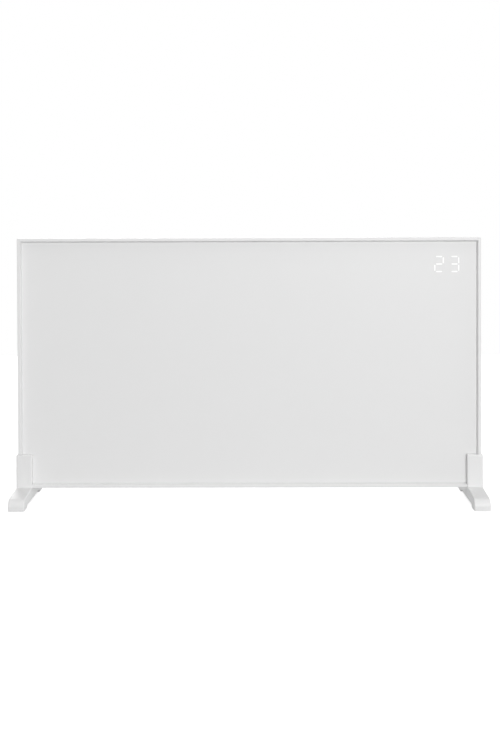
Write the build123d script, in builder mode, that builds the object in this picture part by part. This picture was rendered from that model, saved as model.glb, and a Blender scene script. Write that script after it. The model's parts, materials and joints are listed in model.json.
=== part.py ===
from build123d import *
import math
import os

os.makedirs("parts", exist_ok=True)

# Freestanding infrared panel heater, in millimetres
# X runs to the viewer's right, Y from front to back, Z up, and the floor is Z = 0

# Whole panel
panel_width = 1112.0
panel_height = 600.0
panel_depth = 28.0
panel_lift = 32.0

# Frame extrusion, measured inward from its outer edge and back from its face
frame_wall = 1.5
frame_face = 7.0
lip_slope = 2.8
lip_depth = 9.5
frame_edge_radius = 0.8
ledge_reach = 9.5
ledge_thickness = 1.5
rear_lip = 1.0

# Layers behind the face, from front to back
gasket_thickness = 0.5
sheet_thickness = 1.5
film_thickness = 0.5
busbar_thickness = 0.3
insulating_thickness = 0.6
foil_thickness = 0.2
cover_thickness = 1.0
pan_height = 4.0
pan_inset = 46.0
pan_radius = 14.0
seat_gap = 0.3

# How far each layer stays in from the outer edge of the frame
sheet_margin = 2.3
gasket_margin = 3.0
gasket_setback = 0.5
film_margin = 14.0
busbar_margin = 18.0
busbar_width = 10.0
insulating_margin = 6.0
mat_margin = 10.5
cover_margin = 2.0

# Mitre keys in the frame's front chamber
key_arm = 32.0
key_width = 4.0
key_gap = 0.15
key_screw_radius = 1.5
key_screw_length = 4.5
key_screw_offset = 20.0

# Digits of the display
digit_pitch = 37.0
digit_width = 20.2
digit_height = 36.0
segment_width = 3.0
segment_length = 14.4
segment_gap = 0.05
segment_depth = 3.0
display_from_side = 80.7
display_from_top = 64.0
housing_wall = 3.0
housing_depth = 7.0
board_thickness = 1.6
display_board_border = 3.0
window_gap = 4.0

# Plug and ribbon of the display, and the leads of the heating film
plug_shift = 20.0
plug_width = 14.0
plug_height = 6.0
plug_depth = 5.0
ribbon_width = 10.0
ribbon_thickness = 0.8
ribbon_bend = 4.0
ribbon_loop = 7.0
ribbon_drop = 8.0
lead_radius = 1.2
lead_spread = 1.6
lead_bend = 4.0

# Feet
foot_width = 38.0
foot_length = 250.0
foot_wall = 4.0
foot_height = 112.0
bar_root_height = 34.0
bar_toe_height = 27.0
toe_radius = 18.0
bar_edge_radius = 2.5
upright_edge_radius = 3.0
fit_gap = 0.3
floor_gap = 0.8
toe_contact = 37.0
arch_height = 7.5
arch_slope = 9.0
pad_wall = 3.3
pad_height = 7.0
cavity_wall = 3.0
cavity_roof = 25.0
cavity_half_length = 68.0
rib_thickness = 2.4
rib_pitch = 34.0
foot_screw_radius = 1.95
foot_screw_length = 14.0
foot_screw_heights = (60.0, 94.0)
foot_screw_inset = 5.5

# Screws of the rear cover
cover_screw_radius = 1.45
cover_screw_length = 6.0
cover_screw_inset = 5.5
cover_screws_along = 6
cover_screws_up = 3
cover_screw_end_x = 90.0
cover_screw_end_z = 130.0
head_ratio = 1.95
head_height = 2.0
screw_gap = 0.05

# Keyhole hangers
hanger_inset_x = 256.0
hanger_inset_z = 110.0
hanger_bridge = 44.0
hanger_flange = 14.0
hanger_height = 34.0
hanger_standoff = 14.0
hanger_thickness = 1.5
keyhole_radius = 4.5
keyhole_slot = 4.8
keyhole_rise = 11.0
rivet_radius = 1.6

# Control box on the back
box_width = 120.0
box_height = 190.0
box_depth = 27.0
box_wall = 2.2
box_radius = 5.0
box_from_side = 48.0
box_from_top = 50.0
lid_thickness = 2.5
lid_rim = 2.0
lid_gap = 0.2
boss_radius = 3.6
boss_inset = 7.0
lid_screw_radius = 1.4
lid_screw_length = 10.0
vent_count = 9
vent_length = 44.0
vent_width = 2.4
vent_pitch = 6.0
standoff_height = 5.0
standoff_radius = 3.0
main_board_side_room = 34.0
main_board_top_room = 60.0
main_board_inset = 8.0
board_hole_inset = 5.0

# Keys on the side of the control box
key_count = 4
key_pitch = 17.0
key_top_drop = 30.0
button_radius = 4.0
button_stand = 1.6
button_hole_gap = 0.3
button_flange = 1.5
button_flange_thickness = 1.2
button_stem_radius = 2.0
button_stem_length = 3.0
button_travel = 0.8
button_end_gap = 0.1
tact_side = 6.0
tact_body = 3.5
tact_stem = 0.6
tact_stem_radius = 1.7
key_board_width = 16.0
key_board_border = 14.0

# Mains switch
switch_drop = 128.0
rocker_half_length = 7.0
rocker_crown = 4.2
rocker_rise = 1.4
rocker_skirt = 2.0
rocker_foot = 5.0
rocker_width = 9.6
rocker_tilt = 8.0
rocker_pin_radius = 1.0
rocker_pin_length = 1.2
rocker_pin_gap = 0.05
rocker_side_gap = 0.4
rocker_end_gap = 0.5
switch_pivot_depth = 3.0
switch_bezel = 2.0
switch_bezel_rim = 3.0
switch_body_depth = 15.0
switch_body_wall = 1.4
switch_cavity_depth = 9.0
blade_length = 7.0
blade_width = 5.0
blade_thickness = 0.8

# Cable gland
gland_bore = 3.8
gland_thread_radius = 7.8
gland_nut_radius = 10.5
gland_nut_height = 5.0
gland_dome_radius = 9.0
gland_dome_height = 9.0
gland_thread_inside = 9.0
gland_shift = 26.0

# Worked out from the sizes above
half_width = panel_width / 2
half_depth = panel_depth / 2
mid_z = panel_lift + panel_height / 2
top_z = panel_lift + panel_height
lip_reach = frame_face + lip_slope
sheet_front = -half_depth + lip_depth + gasket_thickness
sheet_back = sheet_front + sheet_thickness
film_back = sheet_back + film_thickness
busbar_back = film_back + busbar_thickness
insulating_back = busbar_back + insulating_thickness
foil_back = insulating_back + foil_thickness
cover_back = half_depth - rear_lip
cover_front = cover_back - cover_thickness
ledge_front = cover_front - ledge_thickness
pan_back = cover_back + pan_height
housing_back = sheet_back + housing_depth
display_board_back = housing_back + board_thickness
display_x = half_width - display_from_side
display_z = top_z - display_from_top
board_length = digit_pitch + digit_width + 2 * (housing_wall + segment_width + display_board_border)
board_rise = digit_height + 2 * (housing_wall + segment_width + display_board_border)
box_right = half_width - box_from_side
box_top = top_z - box_from_top
box_left = box_right - box_width
box_bottom = box_top - box_height
box_middle_x = box_right - box_width / 2
box_middle_z = box_top - box_height / 2
box_floor = pan_back + box_wall
box_back = pan_back + box_depth
box_middle_y = (box_floor + box_back) / 2
main_board_width = box_width - main_board_inset - main_board_side_room
main_board_height = box_height - main_board_top_room
main_board_front = box_floor + standoff_height
main_board_back = main_board_front + board_thickness
main_board_x = box_left + main_board_inset + main_board_width / 2
main_board_z = box_bottom + gland_thread_inside + standoff_radius + main_board_height / 2
plug_x = display_x - plug_shift
foot_outer = half_width + foot_wall
foot_inner = foot_outer - foot_width
foot_front = half_depth + foot_wall


def wall_plane(y_back):
    """Upright plane at a depth: a positive extrude comes forward from it."""
    return Plane.XZ.offset(-y_back)


def slot_window(extra):
    """Cut-out behind the display, shared by every layer it passes through."""
    with Locations((display_x, display_z)):
        Rectangle(board_length + 2 * extra, board_rise + 2 * extra)


def segment_places(lit):
    """Centre, and whether it stands upright, of each bar of the digits 2 and 3 that is lit or dark."""
    half_w = digit_width / 2
    half_h = digit_height / 2
    bars = {
        "a": (0, half_h, False),
        "b": (half_w, half_h / 2, True),
        "c": (half_w, -half_h / 2, True),
        "d": (0, -half_h, False),
        "e": (-half_w, -half_h / 2, True),
        "f": (-half_w, half_h / 2, True),
        "g": (0, 0, False),
    }
    shown = ("abdeg", "abcdg")
    places = []
    for index, names in enumerate(shown):
        centre_x = display_x + (index - 0.5) * digit_pitch
        for name, (x, z, upright) in bars.items():
            if (name in names) == lit:
                places.append((centre_x + x, display_z + z, upright))
    return places


def segment_slots(places, extra):
    """Round-ended bars, grown by a gap on every side."""
    for x, z, upright in places:
        with Locations((x, z)):
            SlotOverall(segment_length + 2 * extra, segment_width + 2 * extra, rotation=90 if upright else 0)


# Frame: four extrusions with one section, cut at 45 degrees
def frame_section():
    """Section of the extrusion: x runs inward and y runs back."""
    chamber_back = lip_depth - frame_wall
    slope = lip_slope / lip_depth
    outline = [
        (0, 0),
        (frame_face, 0),
        (lip_reach, lip_depth),
        (frame_wall, lip_depth),
        (frame_wall, ledge_front + half_depth),
        (ledge_reach, ledge_front + half_depth),
        (ledge_reach, cover_front + half_depth),
        (frame_wall, cover_front + half_depth),
        (frame_wall, panel_depth),
        (0, panel_depth),
    ]
    chamber = [
        (frame_wall, frame_wall),
        (frame_face - frame_wall + slope * frame_wall, frame_wall),
        (frame_face - frame_wall + slope * chamber_back, chamber_back),
        (frame_wall, chamber_back),
    ]
    with BuildSketch() as section:
        Polygon(*outline, align=None)
        front_corners = section.vertices().sort_by(Axis.Y)[:2]
        fillet(front_corners, frame_edge_radius)
        Polygon(*chamber, align=None, mode=Mode.SUBTRACT)
    return section.sketch


side_planes = {
    "frame_top": (Plane((0, -half_depth, top_z), x_dir=(0, 0, -1), z_dir=(1, 0, 0)), half_width),
    "frame_bottom": (Plane((0, -half_depth, panel_lift), x_dir=(0, 0, 1), z_dir=(-1, 0, 0)), half_width),
    "frame_left": (Plane((-half_width, -half_depth, mid_z), x_dir=(1, 0, 0), z_dir=(0, 0, 1)), panel_height / 2),
    "frame_right": (Plane((half_width, -half_depth, mid_z), x_dir=(-1, 0, 0), z_dir=(0, 0, -1)), panel_height / 2),
}


def cover_screw_points():
    """Places of the rear cover's screws, in X and Z."""
    along = (half_width - cover_screw_end_x) * 2 / (cover_screws_along - 1)
    up = (panel_height - 2 * cover_screw_end_z) / (cover_screws_up - 1)
    points = []
    for index in range(cover_screws_along):
        x = -half_width + cover_screw_end_x + index * along
        points.append((x, panel_lift + cover_screw_inset))
        points.append((x, top_z - cover_screw_inset))
    for index in range(cover_screws_up):
        z = panel_lift + cover_screw_end_z + index * up
        points.append((-half_width + cover_screw_inset, z))
        points.append((half_width - cover_screw_inset, z))
    return points


def foot_screw_points(side):
    """Places of one foot's screws, in X and Z."""
    return [(side * (half_width - foot_screw_inset), z) for z in foot_screw_heights]


def key_screw_points():
    """Places of the grub screws in the mitre keys, in X and Z."""
    reach = frame_wall + key_gap + key_width / 2
    points = []
    for side in (-1, 1):
        for x_in, z_in in ((reach, key_screw_offset), (key_screw_offset, reach)):
            x = side * (half_width - x_in)
            points.append((x, panel_lift + z_in))
            points.append((x, top_z - z_in))
    return points


for name, (side, half_length) in side_planes.items():
    with BuildPart() as frame_side:
        with BuildSketch(side):
            add(frame_section())
        extrude(amount=half_length, both=True)
        for end in (1, -1):
            corner = side.origin + side.z_dir * (half_length * end)
            split(bisect_by=Plane(corner, z_dir=side.z_dir * end + side.x_dir), keep=Keep.BOTTOM)
        with BuildSketch(wall_plane(cover_front + seat_gap)):
            with Locations(*cover_screw_points()):
                Circle(cover_screw_radius + screw_gap)
            with Locations(*foot_screw_points(-1), *foot_screw_points(1)):
                Circle(foot_screw_radius + screw_gap)
        extrude(amount=ledge_thickness + 2 * seat_gap, mode=Mode.SUBTRACT)
        with BuildSketch(wall_plane(-half_depth + lip_depth + seat_gap)):
            with Locations(*key_screw_points()):
                Circle(key_screw_radius + screw_gap)
        extrude(amount=frame_wall + 2 * seat_gap, mode=Mode.SUBTRACT)
    frame_side.part.label = name
    export_step(frame_side.part, f"parts/{name}.step")

# Mitre keys: one L in each corner of the front chamber
key_depth = lip_depth - 2 * frame_wall - 2 * key_gap
key_back = -half_depth + lip_depth - frame_wall - key_gap
key_outer = frame_wall + key_gap
with BuildPart() as corner_keys:
    with BuildSketch(wall_plane(key_back)):
        for side in (-1, 1):
            for corner_z, up in ((panel_lift, 1), (top_z, -1)):
                x = side * (half_width - key_outer)
                z = corner_z + up * key_outer
                with Locations((x - side * key_arm / 2, z + up * key_width / 2)):
                    Rectangle(key_arm, key_width)
                with Locations((x - side * key_width / 2, z + up * key_arm / 2)):
                    Rectangle(key_width, key_arm)
        with Locations(*key_screw_points()):
            Circle(key_screw_radius + screw_gap, mode=Mode.SUBTRACT)
    extrude(amount=key_depth)
corner_keys.part.label = "corner_keys"
export_step(corner_keys.part, "parts/corner_keys.step")

with BuildPart() as corner_screws:
    with BuildSketch(wall_plane(-half_depth + lip_depth)):
        with Locations(*key_screw_points()):
            Circle(key_screw_radius)
    extrude(amount=key_screw_length)
corner_screws.part.label = "corner_screws"
export_step(corner_screws.part, "parts/corner_screws.step")

# Front sheet with its gasket and the display's light guides
with BuildPart() as front_panel:
    with BuildSketch(wall_plane(sheet_back)):
        with Locations((0, mid_z)):
            Rectangle(panel_width - 2 * sheet_margin, panel_height - 2 * sheet_margin)
    extrude(amount=sheet_thickness)
    with BuildSketch(wall_plane(sheet_back)):
        segment_slots(segment_places(True), segment_gap)
        segment_slots(segment_places(False), segment_gap)
    extrude(amount=sheet_thickness, mode=Mode.SUBTRACT)
front_panel.part.label = "front_panel"
export_step(front_panel.part, "parts/front_panel.step")

with BuildPart() as panel_gasket:
    with BuildSketch(wall_plane(sheet_front)):
        with Locations((0, mid_z)):
            Rectangle(panel_width - 2 * gasket_margin, panel_height - 2 * gasket_margin)
            inner = 2 * (lip_reach - gasket_setback)
            Rectangle(panel_width - inner, panel_height - inner, mode=Mode.SUBTRACT)
    extrude(amount=gasket_thickness)
panel_gasket.part.label = "panel_gasket"
export_step(panel_gasket.part, "parts/panel_gasket.step")

for name, lit in (("lit_segments", True), ("dark_segments", False)):
    with BuildPart() as segments:
        with BuildSketch(wall_plane(sheet_front + segment_depth)):
            segment_slots(segment_places(lit), 0)
        extrude(amount=segment_depth)
    segments.part.label = name
    export_step(segments.part, f"parts/{name}.step")

# Display: cell housing, LED board and its plug
with BuildPart() as display_housing:
    with BuildSketch(wall_plane(housing_back)):
        with Locations((display_x, display_z)):
            Rectangle(board_length - 2 * display_board_border, board_rise - 2 * display_board_border)
    extrude(amount=housing_depth)
    with BuildSketch(wall_plane(housing_back)):
        segment_slots(segment_places(True), segment_gap)
        segment_slots(segment_places(False), segment_gap)
    extrude(amount=housing_depth, mode=Mode.SUBTRACT)
display_housing.part.label = "display_housing"
export_step(display_housing.part, "parts/display_housing.step")

with BuildPart() as display_board:
    with BuildSketch(wall_plane(display_board_back)):
        with Locations((display_x, display_z)):
            RectangleRounded(board_length, board_rise, 2)
    extrude(amount=board_thickness)
display_board.part.label = "display_board"
export_step(display_board.part, "parts/display_board.step")

with BuildPart() as display_connector:
    with BuildSketch(wall_plane(display_board_back + plug_depth)):
        with Locations((plug_x, display_z)):
            RectangleRounded(plug_width, plug_height, 0.8)
    extrude(amount=plug_depth)
display_connector.part.label = "display_connector"
export_step(display_connector.part, "parts/display_connector.step")

# Heating layers
with BuildPart() as heating_film:
    with BuildSketch(wall_plane(film_back)):
        with Locations((0, mid_z)):
            Rectangle(panel_width - 2 * film_margin, panel_height - 2 * film_margin)
        with BuildSketch(mode=Mode.SUBTRACT):
            slot_window(window_gap)
    extrude(amount=film_thickness)
heating_film.part.label = "heating_film"
export_step(heating_film.part, "parts/heating_film.step")

window_left = display_x - board_length / 2 - window_gap
busbar_length = panel_width / 2 - busbar_margin + window_left - window_gap
busbar_x = -half_width + busbar_margin + busbar_length / 2
busbar_top = top_z - busbar_margin - busbar_width / 2
busbar_low = panel_lift + busbar_margin + busbar_width / 2
with BuildPart() as busbars:
    with BuildSketch(wall_plane(busbar_back)):
        with Locations((busbar_x, busbar_top), (busbar_x, busbar_low)):
            Rectangle(busbar_length, busbar_width)
    extrude(amount=busbar_thickness)
busbars.part.label = "busbars"
export_step(busbars.part, "parts/busbars.step")

lead_x = box_left + 22.0
lead_z = box_bottom + 30.0
channel_width = 6.0
cutout_x = box_left - 30.0
cutout_z = box_bottom + 60.0
cutout_radius = 8.0
cutout_ear = 12.0
cutout_depth = 9.0
for name, back, thickness in (
    ("insulating_sheet", insulating_back, insulating_thickness),
    ("reflector_foil", foil_back, foil_thickness),
):
    with BuildPart() as layer:
        with BuildSketch(wall_plane(back)):
            with Locations((0, mid_z)):
                Rectangle(panel_width - 2 * insulating_margin, panel_height - 2 * insulating_margin)
            with BuildSketch(mode=Mode.SUBTRACT):
                slot_window(window_gap)
            with Locations((lead_x, busbar_top), (lead_x, busbar_low)):
                Circle(channel_width / 2, mode=Mode.SUBTRACT)
        extrude(amount=thickness)
    layer.part.label = name
    export_step(layer.part, f"parts/{name}.step")

mat_rim_back = ledge_front - seat_gap
mat_core_back = pan_back - cover_thickness - seat_gap
mat_core_margin = pan_inset + pan_height + cover_thickness
with BuildPart() as insulation_mat:
    with BuildSketch(wall_plane(mat_rim_back)):
        with Locations((0, mid_z)):
            Rectangle(panel_width - 2 * mat_margin, panel_height - 2 * mat_margin)
    extrude(amount=mat_rim_back - foil_back)
    with BuildSketch(wall_plane(mat_core_back)):
        with Locations((0, mid_z)):
            RectangleRounded(panel_width - 2 * mat_core_margin, panel_height - 2 * mat_core_margin, pan_radius)
    extrude(amount=mat_core_back - mat_rim_back)
    with BuildSketch(wall_plane(mat_core_back)):
        slot_window(window_gap)
        with Locations((lead_x, (busbar_top + busbar_low) / 2)):
            SlotOverall(busbar_top - busbar_low + channel_width, channel_width, rotation=90)
        with Locations((cutout_x, cutout_z)):
            Circle(cutout_ear + 2 * seat_gap)
    extrude(amount=mat_core_back - foil_back, mode=Mode.SUBTRACT)
insulation_mat.part.label = "insulation_mat"
export_step(insulation_mat.part, "parts/insulation_mat.step")

with BuildPart() as thermal_cutout:
    with BuildSketch(wall_plane(foil_back + cutout_depth)):
        with Locations((cutout_x, cutout_z)):
            Circle(cutout_radius)
    extrude(amount=cutout_depth)
    with BuildSketch(wall_plane(foil_back + frame_wall)):
        with Locations((cutout_x, cutout_z)):
            SlotOverall(2 * cutout_ear, cutout_radius)
    extrude(amount=frame_wall)
    with BuildSketch(wall_plane(foil_back + cutout_depth + blade_width)):
        with Locations((cutout_x - cutout_radius / 2, cutout_z), (cutout_x + cutout_radius / 2, cutout_z)):
            Rectangle(blade_thickness, blade_width)
    extrude(amount=blade_width)
thermal_cutout.part.label = "thermal_cutout"
export_step(thermal_cutout.part, "parts/thermal_cutout.step")

# Pressed rear cover: a flat rim round a raised pan
passage_width = 44.0
passage_height = 30.0
passage_x = min(display_x, box_right - box_wall - boss_inset * 2 - passage_width / 2)
lead_hole = 5.0
with BuildPart() as rear_cover:
    pan_width = panel_width - 2 * pan_inset
    pan_rise = panel_height - 2 * pan_inset
    with BuildSketch(wall_plane(cover_front)):
        with Locations((0, mid_z)):
            Rectangle(panel_width - 2 * cover_margin, panel_height - 2 * cover_margin)
    extrude(amount=-cover_thickness)
    with BuildSketch(wall_plane(cover_back)):
        with Locations((0, mid_z)):
            RectangleRounded(pan_width, pan_rise, pan_radius)
    extrude(amount=-pan_height, taper=45)
    with BuildSketch(wall_plane(cover_front)):
        with Locations((0, mid_z)):
            RectangleRounded(pan_width, pan_rise, pan_radius)
    extrude(amount=-pan_height, taper=45, mode=Mode.SUBTRACT)
    with BuildSketch(wall_plane(pan_back)):
        with Locations((passage_x, display_z - board_rise / 2 + passage_height / 2)):
            RectangleRounded(passage_width, passage_height, 4)
        with Locations((lead_x, lead_z)):
            Circle(lead_hole)
    extrude(amount=pan_height, mode=Mode.SUBTRACT)
    with BuildSketch(wall_plane(cover_back)):
        with Locations(*cover_screw_points()):
            Circle(cover_screw_radius + screw_gap)
        with Locations(*foot_screw_points(-1), *foot_screw_points(1)):
            Circle(foot_screw_radius + screw_gap)
    extrude(amount=cover_thickness, mode=Mode.SUBTRACT)
rear_cover.part.label = "rear_cover"
export_step(rear_cover.part, "parts/rear_cover.step")

with BuildPart() as rear_cover_screws:
    with BuildSketch(wall_plane(cover_back)):
        with Locations(*cover_screw_points()):
            Circle(cover_screw_radius)
    extrude(amount=cover_screw_length)
    with BuildSketch(wall_plane(cover_back + head_height)):
        with Locations(*cover_screw_points()):
            Circle(cover_screw_radius * head_ratio)
    extrude(amount=head_height)
rear_cover_screws.part.label = "rear_cover_screws"
export_step(rear_cover_screws.part, "parts/rear_cover_screws.step")

# Keyhole hangers: hat-shaped plates riveted to the pan
hanger_points = [
    (side * (half_width - hanger_inset_x), mid_z + up * (panel_height / 2 - hanger_inset_z))
    for side in (-1, 1)
    for up in (-1, 1)
]
hanger_back = pan_back + hanger_standoff
rivet_reach = hanger_bridge / 2 + hanger_flange / 2
rivet_points = [(x + side * rivet_reach, z) for x, z in hanger_points for side in (-1, 1)]
with BuildPart() as wall_hangers:
    for x, z in hanger_points:
        hat = [
            (x - hanger_bridge / 2 - hanger_flange, pan_back),
            (x - hanger_bridge / 2, pan_back),
            (x - hanger_bridge / 2 + hanger_thickness, hanger_back - hanger_thickness),
            (x + hanger_bridge / 2 - hanger_thickness, hanger_back - hanger_thickness),
            (x + hanger_bridge / 2, pan_back),
            (x + hanger_bridge / 2 + hanger_flange, pan_back),
            (x + hanger_bridge / 2 + hanger_flange, pan_back + hanger_thickness),
            (x + hanger_bridge / 2 + hanger_thickness, pan_back + hanger_thickness),
            (x + hanger_bridge / 2, hanger_back),
            (x - hanger_bridge / 2, hanger_back),
            (x - hanger_bridge / 2 - hanger_thickness, pan_back + hanger_thickness),
            (x - hanger_bridge / 2 - hanger_flange, pan_back + hanger_thickness),
        ]
        with BuildSketch(Plane.XY.offset(z - hanger_height / 2)):
            Polygon(*hat, align=None)
        extrude(amount=hanger_height)
    with BuildSketch(wall_plane(hanger_back)):
        with Locations(*hanger_points):
            Circle(keyhole_radius)
        with Locations(*[(x, z + keyhole_rise / 2) for x, z in hanger_points]):
            SlotCenterToCenter(keyhole_rise, keyhole_slot, rotation=90)
    extrude(amount=hanger_thickness, mode=Mode.SUBTRACT)
    with BuildSketch(wall_plane(pan_back + hanger_thickness)):
        with Locations(*rivet_points):
            Circle(rivet_radius + screw_gap)
    extrude(amount=hanger_thickness, mode=Mode.SUBTRACT)
wall_hangers.part.label = "wall_hangers"
export_step(wall_hangers.part, "parts/wall_hangers.step")

with BuildPart() as hanger_rivets:
    with BuildSketch(wall_plane(pan_back + hanger_thickness)):
        with Locations(*rivet_points):
            Circle(rivet_radius)
    extrude(amount=hanger_thickness)
    with BuildSketch(wall_plane(pan_back + 2 * hanger_thickness)):
        with Locations(*rivet_points):
            Circle(rivet_radius * head_ratio)
    extrude(amount=hanger_thickness)
    chamfer(hanger_rivets.faces().sort_by(Axis.Y)[-len(rivet_points):].edges(), hanger_thickness / 3)
hanger_rivets.part.label = "hanger_rivets"
export_step(hanger_rivets.part, "parts/hanger_rivets.step")

# Feet: a bar with toes and an upright that clasps the panel's lower corner
toe_end = foot_length / 2
toe_inner = toe_end - toe_contact
arch_end = toe_inner - arch_slope


def foot_bar(low_x):
    """Side profile of the bar, run across the foot's width."""
    profile = [
        (-toe_end, floor_gap),
        (-toe_end, bar_toe_height),
        (-foot_front, bar_root_height),
        (foot_front, bar_root_height),
        (toe_end, bar_toe_height),
        (toe_end, floor_gap),
        (toe_inner, floor_gap),
        (arch_end, arch_height),
        (-arch_end, arch_height),
        (-toe_inner, floor_gap),
    ]
    with BuildPart() as bar:
        with BuildSketch(Plane.YZ.offset(low_x)) as side_view:
            Polygon(*profile, align=None)
            toe_corners = [
                side_view.vertices().sort_by_distance((y, bar_toe_height))[0] for y in (-toe_end, toe_end)
            ]
            fillet(toe_corners, toe_radius)
            arch_corners = [
                side_view.vertices().sort_by_distance((y, arch_height))[0] for y in (-arch_end, arch_end)
            ]
            fillet(arch_corners, arch_slope)
        extrude(amount=foot_width)
        long_edges = [
            edge
            for edge in bar.faces().filter_by(Axis.X).edges()
            if edge.center().Z > arch_height + toe_radius / 4
        ]
        fillet(long_edges, bar_edge_radius)
    return bar.part


def foot_upright(low_x):
    """Block of the upright, before the panel's pocket is cut."""
    with BuildPart() as upright:
        with BuildSketch(Plane.XY.offset(cavity_roof)):
            with Locations((low_x + foot_width / 2, 0)):
                Rectangle(foot_width, 2 * foot_front)
        extrude(amount=foot_height - cavity_roof)
        fillet(upright.edges().filter_by(Axis.Z), upright_edge_radius)
        fillet(upright.faces().sort_by(Axis.Z)[-1].edges(), bar_edge_radius)
    return upright.part


def panel_pocket(side):
    """Room for the panel's corner, less the block that fills its recess in front of the sheet."""
    outer = half_width + fit_gap
    recess_outer = half_width - lip_reach - fit_gap
    recess_low = panel_lift + lip_reach + fit_gap
    tall = foot_height - panel_lift + foot_wall
    with BuildPart() as pocket:
        with BuildSketch(Plane.XY.offset(panel_lift)):
            with Locations((side * (outer + foot_inner - foot_wall) / 2, 0)):
                Rectangle(outer - foot_inner + foot_wall, panel_depth + 2 * fit_gap)
        extrude(amount=tall)
        with BuildSketch(Plane.XY.offset(recess_low)):
            low_y = -half_depth - fit_gap
            high_y = sheet_front - fit_gap
            with Locations((side * (recess_outer + foot_inner - foot_wall) / 2, (low_y + high_y) / 2)):
                Rectangle(recess_outer - foot_inner + foot_wall, high_y - low_y)
        extrude(amount=tall, mode=Mode.SUBTRACT)
    return pocket.part


def foot_cavities(low_x):
    """Hollow underside between ribs, and a seat for the pad in each toe."""
    rib_count = int(2 * cavity_half_length / rib_pitch) - 1
    with BuildPart() as cavities:
        with BuildSketch(Plane.XY.offset(arch_height - seat_gap)):
            with Locations((low_x + foot_width / 2, 0)):
                Rectangle(foot_width - 2 * cavity_wall, 2 * cavity_half_length)
            with Locations((low_x + foot_width / 2, 0)):
                with GridLocations(1, rib_pitch, 1, rib_count):
                    Rectangle(foot_width, rib_thickness, mode=Mode.SUBTRACT)
        extrude(amount=cavity_roof - arch_height + seat_gap)
        with BuildSketch():
            for end in (-1, 1):
                near = arch_end
                far = toe_end - pad_wall
                with Locations((low_x + foot_width / 2, end * (near + far) / 2)):
                    Rectangle(foot_width - 2 * pad_wall, far - near)
        extrude(amount=pad_height)
    return cavities.part


for name, side in (("foot_left", -1), ("foot_right", 1)):
    low_x = -foot_outer if side < 0 else foot_inner
    with BuildPart() as foot:
        add(foot_bar(low_x))
        add(foot_upright(low_x))
        add(panel_pocket(side), mode=Mode.SUBTRACT)
        add(foot_cavities(low_x), mode=Mode.SUBTRACT)
        with BuildSketch(wall_plane(foot_front)):
            with Locations(*foot_screw_points(side)):
                Circle(foot_screw_radius + fit_gap)
        extrude(amount=foot_wall, mode=Mode.SUBTRACT)
    foot.part.label = name
    export_step(foot.part, f"parts/{name}.step")

with BuildPart() as foot_screws:
    points = foot_screw_points(-1) + foot_screw_points(1)
    with BuildSketch(wall_plane(foot_front)):
        with Locations(*points):
            Circle(foot_screw_radius)
    extrude(amount=foot_screw_length)
    with BuildSketch(wall_plane(foot_front + head_height)):
        with Locations(*points):
            Circle(foot_screw_radius * head_ratio)
    extrude(amount=head_height)
foot_screws.part.label = "foot_screws"
export_step(foot_screws.part, "parts/foot_screws.step")

with BuildPart() as rubber_pads:
    pad_far = toe_end - pad_wall - fit_gap
    for side in (-1, 1):
        for end in (-1, 1):
            with BuildSketch():
                with Locations((side * (foot_outer - foot_width / 2), end * (toe_inner + pad_far) / 2)):
                    RectangleRounded(foot_width - 2 * (pad_wall + fit_gap), pad_far - toe_inner, 2)
            extrude(amount=pad_height)
rubber_pads.part.label = "rubber_pads"
export_step(rubber_pads.part, "parts/rubber_pads.step")

# Control box: tray and lid
boss_points = [
    (box_middle_x + side * (box_width / 2 - boss_inset), box_middle_z + up * (box_height / 2 - boss_inset))
    for side in (-1, 1)
    for up in (-1, 1)
]
board_points = [
    (
        main_board_x + side * (main_board_width / 2 - board_hole_inset),
        main_board_z + up * (main_board_height / 2 - board_hole_inset),
    )
    for side in (-1, 1)
    for up in (-1, 1)
]
key_heights = [box_top - key_top_drop - index * key_pitch for index in range(key_count)]
switch_z = box_top - switch_drop
side_inner = box_right - box_wall
flange_outer = side_inner - seat_gap
flange_inner = flange_outer - button_flange_thickness
stem_end = flange_inner - button_stem_length
tact_front = stem_end - button_travel - button_end_gap
key_board_front = tact_front - tact_stem - tact_body
key_board_high = key_heights[0] + key_board_border
key_board_low = key_heights[-1] - key_board_border
post_inset = standoff_radius + fit_gap
post_points = [(box_middle_y, key_board_high - post_inset), (box_middle_y, key_board_low + post_inset)]
window_half = math.hypot(rocker_half_length, rocker_crown + rocker_rise) - 1.0 + rocker_end_gap
body_half = window_half + switch_body_wall
body_width = rocker_width + 2 * (rocker_side_gap + switch_body_wall)
gland_x = box_left + gland_shift
sensor_x = box_right - 26.0
sensor_radius = 3.0
sensor_reach = 7.0

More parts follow.
